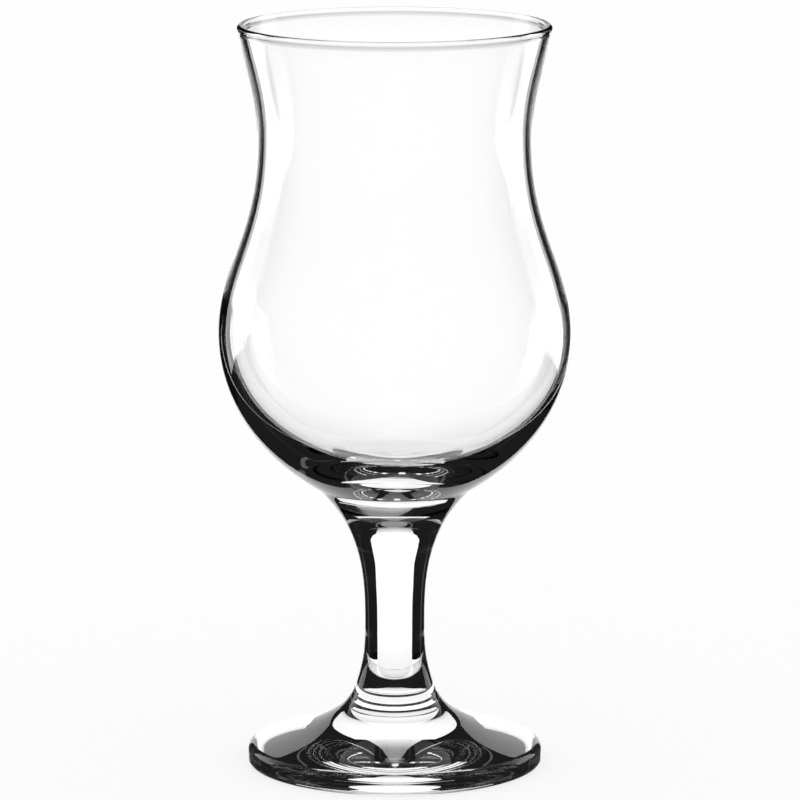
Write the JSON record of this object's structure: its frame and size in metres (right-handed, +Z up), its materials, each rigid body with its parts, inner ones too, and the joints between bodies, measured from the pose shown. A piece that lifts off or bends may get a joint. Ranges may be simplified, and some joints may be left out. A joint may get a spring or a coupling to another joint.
{
  "type": "hurricane glass",
  "caption": "Clear stemmed cocktail glass with a round belly, drawn-in waist, flared beaded lip, short solid stem and domed foot.",
  "frame": {"origin": "on the table under the centre of the foot", "axes": "+Z up along the glass's axis of symmetry, +Y away from the viewer in the picture, +X to the right"},
  "size_m": [0.0824, 0.0824, 0.175],
  "materials": {
    "bowl_glass": "clear, fire-polished",
    "stem_glass": "clear, fire-polished",
    "foot_glass": "clear, fire-polished"
  },
  "bodies": {
    "root": {"bowl": "bowl_glass", "stem": "stem_glass", "foot": "foot_glass"}
  },
  "joints": []
}
